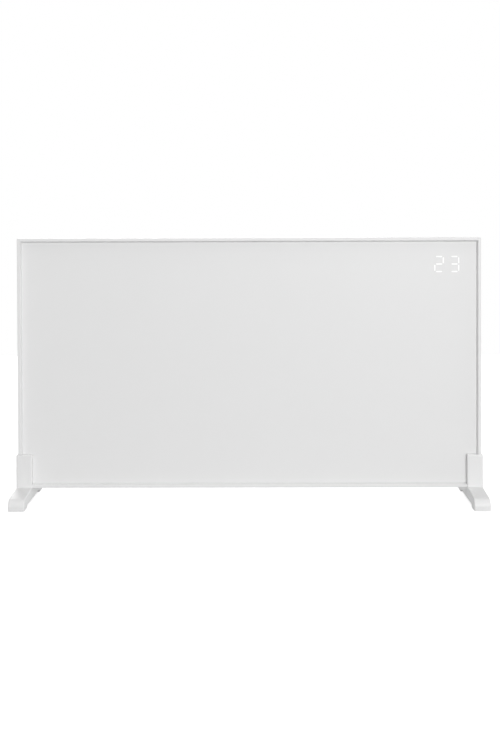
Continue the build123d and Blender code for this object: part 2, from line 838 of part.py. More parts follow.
with BuildPart() as control_box:
    with BuildSketch(wall_plane(box_back)):
        with Locations((box_middle_x, box_middle_z)):
            RectangleRounded(box_width, box_height, box_radius)
    extrude(amount=box_depth)
    with BuildSketch(wall_plane(box_back)):
        with Locations((box_middle_x, box_middle_z)):
            RectangleRounded(box_width - 2 * box_wall, box_height - 2 * box_wall, box_radius - box_wall)
    extrude(amount=box_depth - box_wall, mode=Mode.SUBTRACT)
    with BuildSketch(wall_plane(box_back - lid_rim - lid_gap)):
        with Locations(*boss_points):
            Circle(boss_radius)
    extrude(amount=box_back - lid_rim - lid_gap - box_floor)
    with BuildSketch(wall_plane(box_back - lid_rim - lid_gap)):
        with Locations(*boss_points):
            Circle(lid_screw_radius + screw_gap)
    extrude(amount=lid_screw_length, mode=Mode.SUBTRACT)
    with BuildSketch(wall_plane(main_board_front)):
        with Locations(*board_points):
            Circle(standoff_radius)
            Circle(lid_screw_radius + screw_gap, mode=Mode.SUBTRACT)
    extrude(amount=standoff_height)
    with BuildSketch(Plane.YZ.offset(key_board_front)):
        with Locations(*post_points):
            Circle(standoff_radius)
    extrude(amount=side_inner - key_board_front)
    with BuildSketch(wall_plane(box_floor)):
        with Locations((passage_x, display_z - board_rise / 2 + passage_height / 2)):
            RectangleRounded(passage_width - box_wall, passage_height - box_wall, 3)
        with Locations((lead_x, lead_z)):
            Circle(lead_hole - screw_gap)
    extrude(amount=box_wall, mode=Mode.SUBTRACT)
    with BuildSketch(Plane.YZ.offset(side_inner)):
        with Locations(*[(box_middle_y, z) for z in key_heights]):
            Circle(button_radius + button_hole_gap)
        with Locations((box_middle_y, switch_z)):
            Rectangle(body_width + 2 * lid_gap, 2 * body_half + 2 * lid_gap)
    extrude(amount=box_wall, mode=Mode.SUBTRACT)
    with BuildSketch(Plane.XY.offset(box_bottom)):
        with Locations((gland_x, box_middle_y)):
            Circle(gland_thread_radius + lid_gap)
        with Locations((sensor_x, box_middle_y)):
            Circle(sensor_radius + screw_gap)
    extrude(amount=box_wall, mode=Mode.SUBTRACT)
control_box.part.label = "control_box"
export_step(control_box.part, "parts/control_box.step")

lid_back = box_back + lid_thickness
countersink = lid_screw_radius * head_ratio
with BuildPart() as control_box_lid:
    with BuildSketch(wall_plane(lid_back)):
        with Locations((box_middle_x, box_middle_z)):
            RectangleRounded(box_width, box_height, box_radius)
    extrude(amount=lid_thickness)
    chamfer(control_box_lid.faces().sort_by(Axis.Y)[-1].edges(), lid_thickness * 0.4)
    rim_width = box_width - 2 * (box_wall + lid_gap)
    rim_height = box_height - 2 * (box_wall + lid_gap)
    with BuildSketch(wall_plane(box_back)):
        with Locations((box_middle_x, box_middle_z)):
            RectangleRounded(rim_width, rim_height, box_radius - box_wall - lid_gap)
            RectangleRounded(rim_width - 2 * box_wall, rim_height - 2 * box_wall, 0.5, mode=Mode.SUBTRACT)
    extrude(amount=lid_rim)
    with BuildSketch(wall_plane(lid_back)):
        with Locations((box_middle_x, box_middle_z)):
            with GridLocations(1, vent_pitch, 1, vent_count):
                SlotOverall(vent_length, vent_width)
        with Locations(*boss_points):
            Circle(lid_screw_radius + fit_gap)
    extrude(amount=lid_thickness, mode=Mode.SUBTRACT)
    with BuildSketch(wall_plane(lid_back)):
        with Locations(*boss_points):
            Circle(countersink + fit_gap)
    extrude(amount=lid_thickness / 2, mode=Mode.SUBTRACT)
    with BuildSketch(wall_plane(box_back)):
        with Locations(*boss_points):
            Circle(boss_radius + fit_gap)
            Circle(lid_screw_radius + fit_gap, mode=Mode.SUBTRACT)
    extrude(amount=lid_rim)
control_box_lid.part.label = "control_box_lid"
export_step(control_box_lid.part, "parts/control_box_lid.step")

with BuildPart() as lid_screws:
    with BuildSketch(wall_plane(lid_back)):
        with Locations(*boss_points):
            Circle(countersink)
    extrude(amount=lid_thickness / 2)
    with BuildSketch(wall_plane(lid_back - lid_thickness / 2)):
        with Locations(*boss_points):
            Circle(lid_screw_radius)
    extrude(amount=lid_screw_length)
lid_screws.part.label = "lid_screws"
export_step(lid_screws.part, "parts/lid_screws.step")

# Main board and what it carries
with BuildPart() as main_board:
    with BuildSketch(wall_plane(main_board_back)):
        with Locations((main_board_x, main_board_z)):
            RectangleRounded(main_board_width, main_board_height, 2)
        with Locations(*board_points):
            Circle(lid_screw_radius + screw_gap, mode=Mode.SUBTRACT)
    extrude(amount=board_thickness)
main_board.part.label = "main_board"
export_step(main_board.part, "parts/main_board.step")

with BuildPart() as board_screws:
    with BuildSketch(wall_plane(main_board_back)):
        with Locations(*board_points):
            Circle(lid_screw_radius)
    extrude(amount=board_thickness + standoff_height / 2)
    with BuildSketch(wall_plane(main_board_back + head_height)):
        with Locations(*board_points):
            Circle(lid_screw_radius * head_ratio)
    extrude(amount=head_height)
board_screws.part.label = "board_screws"
export_step(board_screws.part, "parts/board_screws.step")

board_left = main_board_x - main_board_width / 2
board_low = main_board_z - main_board_height / 2
block_parts = {
    "relay": (24.0, 76.0, 15.0, 19.0, 14.0),
    "transformer": (54.0, 74.0, 26.0, 30.0, 15.0),
    "tilt_switch": (26.0, 106.0, 14.0, 8.0, 7.0),
}
for name, (x_in, z_in, wide, tall, deep) in block_parts.items():
    with BuildPart() as block:
        with BuildSketch(wall_plane(main_board_back + deep)):
            with Locations((board_left + x_in, board_low + z_in)):
                RectangleRounded(wide, tall, 1)
        extrude(amount=deep)
        chamfer(block.faces().sort_by(Axis.Y)[-1].edges(), 0.6)
    block.part.label = name
    export_step(block.part, f"parts/{name}.step")

capacitor_radius = 5.0
capacitor_height = 13.0
with BuildPart() as capacitor:
    with BuildSketch(wall_plane(main_board_back + capacitor_height)):
        with Locations((board_left + 60.0, board_low + 108.0), (board_left + 46.0, board_low + 108.0)):
            Circle(capacitor_radius)
    extrude(amount=capacitor_height)
    chamfer(capacitor.faces().sort_by(Axis.Y)[-2:].edges(), 0.6)
capacitor.part.label = "capacitor"
export_step(capacitor.part, "parts/capacitor.step")

terminal_pitch = 10.0
terminal_poles = 4
terminal_depth = 14.0
terminal_height = 16.0
terminal_x = board_left + 40.0
terminal_z = board_low + 28.0
with BuildPart() as terminal_block:
    with BuildSketch(wall_plane(main_board_back + terminal_depth)):
        with Locations((terminal_x, terminal_z)):
            Rectangle(terminal_poles * terminal_pitch, terminal_height)
    extrude(amount=terminal_depth)
    with BuildSketch(wall_plane(main_board_back + terminal_depth)):
        with Locations((terminal_x, terminal_z)):
            with GridLocations(terminal_pitch, 1, terminal_poles, 1):
                Circle(terminal_pitch * 0.28)
    extrude(amount=terminal_depth / 2, mode=Mode.SUBTRACT)
    with BuildSketch(Plane.XY.offset(terminal_z - terminal_height / 2)):
        with Locations((terminal_x, main_board_back + terminal_depth * 0.35)):
            with GridLocations(terminal_pitch, 1, terminal_poles, 1):
                Rectangle(terminal_pitch * 0.55, terminal_depth * 0.4)
    extrude(amount=terminal_height / 3, mode=Mode.SUBTRACT)
terminal_block.part.label = "terminal_block"
export_step(terminal_block.part, "parts/terminal_block.step")

# Key board and its switches
key_board_mid = (key_board_high + key_board_low) / 2
with BuildPart() as button_board:
    with BuildSketch(Plane.YZ.offset(key_board_front - board_thickness)):
        with Locations((box_middle_y, key_board_mid)):
            RectangleRounded(key_board_width, key_board_high - key_board_low, 1)
    extrude(amount=board_thickness)
button_board.part.label = "button_board"
export_step(button_board.part, "parts/button_board.step")

with BuildPart() as tact_switches:
    for z in key_heights:
        with BuildSketch(Plane.YZ.offset(key_board_front)):
            with Locations((box_middle_y, z)):
                Rectangle(tact_side, tact_side)
        extrude(amount=tact_body)
        with BuildSketch(Plane.YZ.offset(key_board_front + tact_body)):
            with Locations((box_middle_y, z)):
                Circle(tact_stem_radius)
        extrude(amount=tact_stem)
tact_switches.part.label = "tact_switches"
export_step(tact_switches.part, "parts/tact_switches.step")

button_names = ("power_button", "plus_button", "minus_button", "mode_button")
for name, z in zip(button_names, key_heights):
    with BuildPart() as button:
        with BuildSketch(Plane.YZ.offset(flange_outer)):
            with Locations((box_middle_y, z)):
                Circle(button_radius)
        extrude(amount=box_right + button_stand - flange_outer)
        chamfer(button.faces().sort_by(Axis.X)[-1].edges(), button_stand / 3)
        with BuildSketch(Plane.YZ.offset(flange_inner)):
            with Locations((box_middle_y, z)):
                Circle(button_radius + button_flange)
        extrude(amount=button_flange_thickness)
        with BuildSketch(Plane.YZ.offset(stem_end)):
            with Locations((box_middle_y, z)):
                Circle(button_stem_radius)
        extrude(amount=button_stem_length)
    button.part.label = name
    export_step(button.part, f"parts/{name}.step")

# Mains switch: a body clipped in the wall and a rocker on its pins
pivot_x = box_right - switch_pivot_depth
pivot_plane = Plane((pivot_x, box_middle_y, switch_z), x_dir=(1, 0, 0), z_dir=(0, -1, 0))
bezel_face = box_right + switch_bezel
with BuildPart() as switch_body:
    with BuildSketch(Plane.YZ.offset(box_right)):
        with Locations((box_middle_y, switch_z)):
            RectangleRounded(body_width + 2 * switch_bezel_rim, 2 * (body_half + switch_bezel_rim), 1.5)
    extrude(amount=switch_bezel)
    chamfer(switch_body.faces().sort_by(Axis.X)[-1].edges(), switch_bezel * 0.3)
    with BuildSketch(Plane.YZ.offset(box_right - switch_body_depth)):
        with Locations((box_middle_y, switch_z)):
            Rectangle(body_width, 2 * body_half)
    extrude(amount=switch_body_depth)
    with BuildSketch(Plane.YZ.offset(box_right - switch_cavity_depth)):
        with Locations((box_middle_y, switch_z)):
            Rectangle(rocker_width + 2 * rocker_side_gap, 2 * window_half)
    extrude(amount=switch_cavity_depth + switch_bezel, mode=Mode.SUBTRACT)
    with BuildSketch(pivot_plane):
        Circle(rocker_pin_radius + rocker_pin_gap)
    extrude(amount=rocker_width / 2 + rocker_pin_length + fit_gap, both=True, mode=Mode.SUBTRACT)
    with BuildSketch(Plane.YZ.offset(box_right - switch_body_depth - blade_length)):
        with Locations((box_middle_y, switch_z)):
            with GridLocations(1, body_half, 1, 2):
                Rectangle(blade_width, blade_thickness)
    extrude(amount=blade_length)
switch_body.part.label = "switch_body"
export_step(switch_body.part, "parts/switch_body.step")

with BuildPart() as rocker:
    shape = [
        (rocker_crown, 0),
        (rocker_crown + rocker_rise, rocker_half_length),
        (-rocker_skirt, rocker_foot),
        (-rocker_skirt, -rocker_foot),
        (rocker_crown + rocker_rise, -rocker_half_length),
    ]
    tilt = math.radians(rocker_tilt)
    tilted = Plane(pivot_plane.origin, x_dir=(math.cos(tilt), 0, math.sin(tilt)), z_dir=pivot_plane.z_dir)
    with BuildSketch(tilted):
        Polygon(*shape, align=None)
    extrude(amount=rocker_width / 2, both=True)
    with BuildSketch(tilted):
        Circle(rocker_pin_radius)
    extrude(amount=rocker_width / 2 + rocker_pin_length, both=True)
rocker.part.label = "rocker"
export_step(rocker.part, "parts/rocker.step")

# Cable gland in the floor of the box, with its lock nut
with BuildPart() as cable_gland:
    with BuildSketch(Plane.XY.offset(box_bottom - gland_nut_height)):
        with Locations((gland_x, box_middle_y)):
            RegularPolygon(gland_nut_radius, 6)
    extrude(amount=gland_nut_height)
    with BuildSketch(Plane.XY.offset(box_bottom)):
        with Locations((gland_x, box_middle_y)):
            Circle(gland_thread_radius)
    extrude(amount=gland_thread_inside)
    with BuildSketch(Plane.XY.offset(box_bottom - gland_nut_height)):
        with Locations((gland_x, box_middle_y)):
            Circle(gland_dome_radius)
    extrude(amount=-gland_dome_height)
    chamfer(cable_gland.faces().sort_by(Axis.Z)[0].edges(), gland_dome_height / 3)
    with BuildSketch(Plane.XY.offset(box_bottom + gland_thread_inside)):
        with Locations((gland_x, box_middle_y)):
            Circle(gland_bore)
    extrude(amount=-(gland_thread_inside + gland_nut_height + gland_dome_height), mode=Mode.SUBTRACT)
cable_gland.part.label = "cable_gland"
export_step(cable_gland.part, "parts/cable_gland.step")

with BuildPart() as gland_nut:
    with BuildSketch(Plane.XY.offset(box_bottom + box_wall)):
        with Locations((gland_x, box_middle_y)):
            RegularPolygon(gland_nut_radius, 6)
            Circle(gland_thread_radius + screw_gap, mode=Mode.SUBTRACT)
    extrude(amount=gland_nut_height)
gland_nut.part.label = "gland_nut"
export_step(gland_nut.part, "parts/gland_nut.step")

# Air temperature probe through the floor of the box
with BuildPart() as room_sensor:
    with BuildSketch(Plane.XY.offset(box_bottom + 2 * box_wall)):
        with Locations((sensor_x, box_middle_y)):
            Circle(sensor_radius * 1.5)
    extrude(amount=-box_wall)
    with BuildSketch(Plane.XY.offset(box_bottom + box_wall)):
        with Locations((sensor_x, box_middle_y)):
            Circle(sensor_radius)
    extrude(amount=-(box_wall + sensor_reach))
    chamfer(room_sensor.faces().sort_by(Axis.Z)[0].edges(), sensor_radius / 2)
room_sensor.part.label = "room_sensor"
export_step(room_sensor.part, "parts/room_sensor.step")

# Protective earth stud on the pan, inside the box
earth_x = box_right - 22.0
earth_z = box_bottom + 24.0
earth_radius = 2.0
with BuildPart() as earth_terminal:
    with BuildSketch(wall_plane(box_floor + head_height)):
        with Locations((earth_x, earth_z)):
            RegularPolygon(earth_radius * 2.2, 6)
    extrude(amount=head_height)
    with BuildSketch(wall_plane(box_floor + 3 * head_height)):
        with Locations((earth_x, earth_z)):
            Circle(earth_radius)
    extrude(amount=2 * head_height)
    with BuildSketch(wall_plane(box_floor + 2 * head_height)):
        with Locations((earth_x, earth_z)):
            RegularPolygon(earth_radius * 1.9, 6)
    extrude(amount=head_height * 0.8)
earth_terminal.part.label = "earth_terminal"
export_step(earth_terminal.part, "parts/earth_terminal.step")

# Leads from the main board's underside through the cover to the two busbars
lead_depth = (foil_back + ledge_front) / 2
with BuildPart() as heater_leads:
    for side, busbar_z in ((-1, busbar_low), (1, busbar_top)):
        x = lead_x + side * lead_spread
        route = [
            (x, main_board_front, lead_z),
            (x, lead_depth, lead_z),
            (x, lead_depth, busbar_z),
            (x, busbar_back, busbar_z),
        ]
        with BuildLine() as lead_path:
            FilletPolyline(*route, radius=lead_bend)
        with BuildSketch(wall_plane(main_board_front)):
            with Locations((x, lead_z)):
                Circle(lead_radius)
        sweep(path=lead_path.line)
heater_leads.part.label = "heater_leads"
export_step(heater_leads.part, "parts/heater_leads.step")

# Flat ribbon from the display's plug over the edge of the main board
ribbon_back = main_board_back + ribbon_loop
ribbon_low = main_board_z + main_board_height / 2 - ribbon_drop
with BuildPart() as display_ribbon:
    ribbon_route = [
        (plug_x, display_board_back + plug_depth, display_z),
        (plug_x, ribbon_back, display_z),
        (plug_x, ribbon_back, ribbon_low),
        (plug_x, main_board_back, ribbon_low),
    ]
    with BuildLine() as ribbon_path:
        FilletPolyline(*ribbon_route, radius=ribbon_bend)
    with BuildSketch(wall_plane(display_board_back + plug_depth)):
        with Locations((plug_x, display_z)):
            Rectangle(ribbon_width, ribbon_thickness)
    sweep(path=ribbon_path.line)
display_ribbon.part.label = "display_ribbon"
export_step(display_ribbon.part, "parts/display_ribbon.step")
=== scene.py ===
import json
import math

import bmesh
import bpy
from mathutils import Matrix, Vector


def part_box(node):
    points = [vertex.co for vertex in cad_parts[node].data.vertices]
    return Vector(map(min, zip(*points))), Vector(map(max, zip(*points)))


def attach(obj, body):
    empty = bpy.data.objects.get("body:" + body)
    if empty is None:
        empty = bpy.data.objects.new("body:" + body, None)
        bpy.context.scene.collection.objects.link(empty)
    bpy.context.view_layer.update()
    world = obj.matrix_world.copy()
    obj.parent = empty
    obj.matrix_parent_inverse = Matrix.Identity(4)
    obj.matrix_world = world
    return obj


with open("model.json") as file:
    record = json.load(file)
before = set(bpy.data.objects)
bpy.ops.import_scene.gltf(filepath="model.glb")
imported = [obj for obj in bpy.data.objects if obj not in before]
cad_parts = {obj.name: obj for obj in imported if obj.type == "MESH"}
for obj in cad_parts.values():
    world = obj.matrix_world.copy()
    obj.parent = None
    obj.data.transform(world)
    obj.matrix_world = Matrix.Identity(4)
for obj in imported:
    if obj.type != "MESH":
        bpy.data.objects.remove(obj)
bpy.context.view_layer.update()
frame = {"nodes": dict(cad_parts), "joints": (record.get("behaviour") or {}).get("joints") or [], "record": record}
nodes = frame["nodes"]
MM = 0.001

# Camera, in metres, degrees and pixels of a 500 by 750 picture
CAMERA_PLACE = Vector((0.0300, -3.1057, 0.7070))
CAMERA_YAW = 0.493
CAMERA_TILT = 1.016
CAMERA_ROLL = -0.181
FOCAL_PIXELS = 1291.8
PICTURE_HEIGHT = 750
AXIS_ROW = 229.6
SENSOR = 36.0

# Light, as strengths of the surroundings and of the floor that the camera sees
AMBIENT = 0.30
AMBIENT_SLANT = 0.35
FLOOR_HALF = 3.0
FLOOR_GLOW = 0.74
LAMP_AIM = Vector((0.0, 0.0, 0.32))

# Grain, in metres of height and shares of strength
FINE_TONE_SHARE = 0.6
LINE_GLOSS_SPREAD = 0.2
GRAIN_HEIGHT = 0.0002
LINE_HEIGHT = 0.0001
LINE_BUMP = 0.08
COAT_ROUGHNESS = 0.15
DUST_COLOUR = (0.56, 0.55, 0.52, 1.0)
MIX_COLOUR_BELOW = 6
MIX_COLOUR_ABOVE = 7
MIX_COLOUR_RESULT = 2

# Signs and recesses, in metres and shares of the head they sit on
SIGN_DEPTH = 0.10 * MM
SIGN_WIDTH = 0.55 * MM
SIGN_REACH = 2.0 * MM
POWER_GAP = math.radians(40)
CROSS_REACH = 0.27
CROSS_WIDTH = 0.42
JOIN_DISTANCE = 0.001 * MM
BACK_ACROSS = Vector((-1, 0, 0))
SIDE_ACROSS = Vector((0, 1, 0))
UP = Vector((0, 0, 1))

# Rocker's faces, as in the solid
ROCKER_TILT = math.radians(8.0)
ROCKER_CROWN = 4.2 * MM
ROCKER_RISE = 1.4 * MM
ROCKER_HALF = 7.0 * MM
ROCKER_SIGN_PLACE = 0.52
ROCKER_LINE = 2.6 * MM
ROCKER_RING = 1.2 * MM
ROCKER_RING_STEPS = 16


def new_group(name, inputs, outputs):
    """Shader node group with its sockets, ready to be filled."""
    group = bpy.data.node_groups.new(name, "ShaderNodeTree")
    for label, kind, value in inputs:
        socket = group.interface.new_socket(name=label, in_out="INPUT", socket_type=kind)
        socket.default_value = value
    for label, kind in outputs:
        group.interface.new_socket(name=label, in_out="OUTPUT", socket_type=kind)
    entry = group.nodes.new("NodeGroupInput")
    leave = group.nodes.new("NodeGroupOutput")
    return group, entry, leave


def place_noise(tree, position, scale, detail):
    """Noise read at a point in space, at the scale that a socket gives."""
    noise = tree.nodes.new("ShaderNodeTexNoise")
    noise.inputs["Detail"].default_value = detail
    tree.links.new(position, noise.inputs["Vector"])
    tree.links.new(scale, noise.inputs["Scale"])
    return noise.outputs["Fac"]


def math_node(tree, operation, first, second, third=None):
    """One sum; each term is a socket or a number."""
    node = tree.nodes.new("ShaderNodeMath")
    node.operation = operation
    for index, term in enumerate((first, second, third)):
        if term is None:
            continue
        if isinstance(term, bpy.types.NodeSocket):
            tree.links.new(term, node.inputs[index])
        else:
            node.inputs[index].default_value = term
    return node.outputs[0]


def shade_colour(tree, colour, factor):
    """Colour times a factor."""
    mix = tree.nodes.new("ShaderNodeVectorMath")
    mix.operation = "SCALE"
    tree.links.new(colour, mix.inputs[0])
    tree.links.new(factor, mix.inputs["Scale"])
    return mix.outputs[0]


def build_coat_grain():
    """Fine peel of a sprayed or moulded skin, with a faint wander in tone and gloss."""
    group, entry, leave = new_group(
        "coat_grain",
        (
            ("Colour", "NodeSocketColor", (0.8, 0.8, 0.8, 1.0)),
            ("Tone Spread", "NodeSocketFloat", 0.02),
            ("Roughness", "NodeSocketFloat", 0.45),
            ("Gloss Spread", "NodeSocketFloat", 0.06),
            ("Grain Scale", "NodeSocketFloat", 900.0),
            ("Patch Scale", "NodeSocketFloat", 9.0),
        ),
        (("Colour", "NodeSocketColor"), ("Roughness", "NodeSocketFloat"), ("Height", "NodeSocketFloat")),
    )
    place = group.nodes.new("ShaderNodeTexCoord").outputs["Object"]
    grain = place_noise(group, place, entry.outputs["Grain Scale"], 2.0)
    patch = place_noise(group, place, entry.outputs["Patch Scale"], 3.0)
    centred = math_node(group, "SUBTRACT", patch, 0.5)
    factor = math_node(group, "MULTIPLY_ADD", centred, entry.outputs["Tone Spread"], 1.0)
    speck = math_node(group, "SUBTRACT", grain, 0.5)
    fine = math_node(group, "MULTIPLY", entry.outputs["Tone Spread"], FINE_TONE_SHARE)
    factor = math_node(group, "MULTIPLY_ADD", speck, fine, factor)
    group.links.new(shade_colour(group, entry.outputs["Colour"], factor), leave.inputs["Colour"])
    spread = entry.outputs["Gloss Spread"]
    rough = math_node(group, "MULTIPLY_ADD", centred, spread, entry.outputs["Roughness"])
    group.links.new(rough, leave.inputs["Roughness"])
    group.links.new(grain, leave.inputs["Height"])
    return group


def build_resting_dust():
    """Thin dust on faces that look up: a mask that is strongest in the patches of a coarse noise."""
    group, entry, leave = new_group(
        "resting_dust",
        (("Amount", "NodeSocketFloat", 0.1), ("Patch Scale", "NodeSocketFloat", 40.0)),
        (("Mask", "NodeSocketFloat"),),
    )
    place = group.nodes.new("ShaderNodeTexCoord").outputs["Object"]
    facing = group.nodes.new("ShaderNodeSeparateXYZ")
    normal = group.nodes.new("ShaderNodeNewGeometry").outputs["Normal"]
    group.links.new(normal, facing.inputs[0])
    up = math_node(group, "MAXIMUM", facing.outputs["Z"], 0.0)
    patch = place_noise(group, place, entry.outputs["Patch Scale"], 4.0)
    mask = math_node(group, "MULTIPLY", math_node(group, "MULTIPLY", up, patch), entry.outputs["Amount"])
    group.links.new(mask, leave.inputs["Mask"])
    return group


def build_drawn_lines():
    """Long fine lines of rolled or plated metal."""
    group, entry, leave = new_group(
        "drawn_lines",
        (
            ("Colour", "NodeSocketColor", (0.6, 0.6, 0.6, 1.0)),
            ("Line Scale", "NodeSocketFloat", 60.0),
            ("Stretch", "NodeSocketVector", (1.0, 30.0, 30.0)),
            ("Tone Spread", "NodeSocketFloat", 0.15),
            ("Roughness", "NodeSocketFloat", 0.35),
        ),
        (("Colour", "NodeSocketColor"), ("Roughness", "NodeSocketFloat"), ("Height", "NodeSocketFloat")),
    )
    place = group.nodes.new("ShaderNodeTexCoord").outputs["Object"]
    stretched = group.nodes.new("ShaderNodeVectorMath")
    stretched.operation = "MULTIPLY"
    group.links.new(place, stretched.inputs[0])
    group.links.new(entry.outputs["Stretch"], stretched.inputs[1])
    lines = place_noise(group, stretched.outputs[0], entry.outputs["Line Scale"], 4.0)
    centred = math_node(group, "SUBTRACT", lines, 0.5)
    factor = math_node(group, "MULTIPLY_ADD", centred, entry.outputs["Tone Spread"], 1.0)
    group.links.new(shade_colour(group, entry.outputs["Colour"], factor), leave.inputs["Colour"])
    rough = math_node(group, "MULTIPLY_ADD", centred, LINE_GLOSS_SPREAD, entry.outputs["Roughness"])
    group.links.new(rough, leave.inputs["Roughness"])
    group.links.new(lines, leave.inputs["Height"])
    return group


coat_grain = build_coat_grain()
resting_dust = build_resting_dust()
drawn_lines = build_drawn_lines()


def start_material(name):
    """New material, with its node tree and its shader."""
    material = bpy.data.materials.new(name)
    material.use_nodes = True
    return material, material.node_tree, material.node_tree.nodes["Principled BSDF"]


def link_bump(tree, shader, height, strength, distance):
    """Height of the grain turned into a normal."""
    bump = tree.nodes.new("ShaderNodeBump")
    bump.inputs["Strength"].default_value = strength
    bump.inputs["Distance"].default_value = distance
    tree.links.new(height, bump.inputs["Height"])
    tree.links.new(bump.outputs["Normal"], shader.inputs["Normal"])


def coated(name, colour, roughness, grain=900.0, bump=0.1, tone=0.015, dust=0.12, coat=0.0, glow=0.0):
    """Sprayed, moulded or rubber skin with its grain and a trace of dust."""
    material, tree, shader = start_material(name)
    skin = tree.nodes.new("ShaderNodeGroup")
    skin.node_tree = coat_grain
    skin.inputs["Colour"].default_value = (*colour, 1.0)
    skin.inputs["Roughness"].default_value = roughness
    skin.inputs["Grain Scale"].default_value = grain
    skin.inputs["Tone Spread"].default_value = tone
    settled = tree.nodes.new("ShaderNodeGroup")
    settled.node_tree = resting_dust
    settled.inputs["Amount"].default_value = dust
    mix = tree.nodes.new("ShaderNodeMix")
    mix.data_type = "RGBA"
    tree.links.new(settled.outputs["Mask"], mix.inputs["Factor"])
    tree.links.new(skin.outputs["Colour"], mix.inputs[MIX_COLOUR_BELOW])
    mix.inputs[MIX_COLOUR_ABOVE].default_value = DUST_COLOUR
    tree.links.new(mix.outputs[MIX_COLOUR_RESULT], shader.inputs["Base Color"])
    tree.links.new(skin.outputs["Roughness"], shader.inputs["Roughness"])
    shader.inputs["Coat Weight"].default_value = coat
    shader.inputs["Coat Roughness"].default_value = COAT_ROUGHNESS
    if glow > 0:
        tree.links.new(skin.outputs["Colour"], shader.inputs["Emission Color"])
        shader.inputs["Emission Strength"].default_value = glow
    link_bump(tree, shader, skin.outputs["Height"], bump, GRAIN_HEIGHT)
    return material


def metal(name, colour, roughness, stretch=(1.0, 30.0, 30.0), line_scale=40.0, tone=0.2):
    """Bare or plated metal with its drawn lines."""
    material, tree, shader = start_material(name)
    skin = tree.nodes.new("ShaderNodeGroup")
    skin.node_tree = drawn_lines
    skin.inputs["Colour"].default_value = (*colour, 1.0)
    skin.inputs["Roughness"].default_value = roughness
    skin.inputs["Stretch"].default_value = stretch
    skin.inputs["Line Scale"].default_value = line_scale
    skin.inputs["Tone Spread"].default_value = tone
    tree.links.new(skin.outputs["Colour"], shader.inputs["Base Color"])
    tree.links.new(skin.outputs["Roughness"], shader.inputs["Roughness"])
    shader.inputs["Metallic"].default_value = 1.0
    link_bump(tree, shader, skin.outputs["Height"], LINE_BUMP, LINE_HEIGHT)
    return material


WHITE = (0.80, 0.80, 0.80)
finishes = {
    "frame_paint": coated("frame_satin_white", WHITE, 0.42, grain=1100.0, bump=0.10),
    "panel_paint": coated(
        "sheet_satin_white", (0.795, 0.795, 0.795), 0.43,
        grain=700.0, bump=0.05, tone=0.008, dust=0.0,
    ),
    "gasket_white": coated("gasket_silicone", (0.55, 0.55, 0.54), 0.70, grain=1500.0, bump=0.10),
    "lit_plastic": coated(
        "segment_lit", (0.80, 0.80, 0.80), 0.36,
        grain=900.0, bump=0.02, tone=0.004, dust=0.0, coat=0.0, glow=0.32,
    ),
    "dark_plastic": coated(
        "segment_unlit", (0.795, 0.795, 0.795), 0.43,
        grain=700.0, bump=0.05, tone=0.008, dust=0.0,
    ),
    "cell_plastic": coated("cell_white", (0.75, 0.75, 0.74), 0.55),
    "board_green": coated(
        "board_mask_green", (0.03, 0.16, 0.07), 0.35,
        grain=500.0, bump=0.3, tone=0.5, dust=0.05, coat=0.3,
    ),
    "connector_white": coated("nylon_natural", (0.72, 0.70, 0.62), 0.5),
    "film_black": coated("carbon_film", (0.03, 0.03, 0.035), 0.4, grain=600.0, bump=0.2, tone=0.4),
    "copper_strip": metal("copper_bright", (0.86, 0.48, 0.33), 0.28),
    "insulator_buff": coated("mica_buff", (0.62, 0.53, 0.36), 0.55, grain=300.0, bump=0.3, tone=0.3),
    "foil_bright": metal("foil_aluminium", (0.90, 0.91, 0.92), 0.22),
    "mineral_wool": coated("wool_felt", (0.62, 0.60, 0.50), 0.95, grain=260.0, bump=1.0, tone=0.5),
    "cutout_plastic": coated("phenolic_black", (0.09, 0.08, 0.07), 0.45, grain=700.0, bump=0.3, tone=0.2),
    "cover_paint": coated("cover_white", (0.76, 0.76, 0.76), 0.50, grain=800.0, bump=0.16, tone=0.02),
    "zinc_steel": metal(
        "zinc_plate", (0.46, 0.47, 0.48), 0.34,
        stretch=(1.0, 1.0, 1.0), line_scale=600.0, tone=0.35,
    ),
    "hanger_steel": metal(
        "galvanised_sheet", (0.44, 0.45, 0.46), 0.38,
        stretch=(1.0, 1.0, 1.0), line_scale=120.0, tone=0.5,
    ),
    "foot_plastic": coated(
        "foot_moulded_white", WHITE, 0.46,
        grain=1400.0, bump=0.12, tone=0.012, dust=0.10,
    ),
    "rubber_black": coated(
        "rubber_matt_black", (0.022, 0.022, 0.022), 0.85,
        grain=900.0, bump=0.4, tone=0.4,
    ),
    "box_plastic": coated(
        "box_spark_white", (0.78, 0.78, 0.77), 0.55,
        grain=1300.0, bump=0.30, tone=0.02,
    ),
    "relay_plastic": coated("part_black", (0.03, 0.03, 0.035), 0.38, grain=900.0, bump=0.1, tone=0.2),
    "capacitor_sleeve": coated(
        "sleeve_dark_blue", (0.03, 0.035, 0.10), 0.30,
        grain=900.0, bump=0.05, tone=0.2,
    ),
    "terminal_plastic": coated("terminal_green", (0.10, 0.30, 0.16), 0.45),
    "button_plastic": coated("key_light_grey", (0.55, 0.56, 0.57), 0.48, grain=1600.0, bump=0.15),
    "switch_plastic": coated(
        "switch_black", (0.03, 0.03, 0.033), 0.30,
        grain=1200.0, bump=0.08, tone=0.2,
    ),
    "gland_plastic": coated("gland_white", (0.72, 0.72, 0.71), 0.45),
    "lead_silicone": coated("lead_white", (0.74, 0.73, 0.71), 0.55),
    "ribbon_grey": coated("ribbon_grey", (0.42, 0.43, 0.45), 0.50),
    "brass_stud": metal(
        "brass_turned", (0.83, 0.66, 0.36), 0.30,
        stretch=(1.0, 1.0, 1.0), line_scale=300.0, tone=0.2,
    ),
}
sign_print = coated("sign_dark_grey", (0.10, 0.10, 0.11), 0.60, grain=1500.0, bump=0.05, tone=0.1)
sign_pale = coated("sign_white", (0.80, 0.80, 0.80), 0.50, grain=1500.0, bump=0.05, tone=0.05)
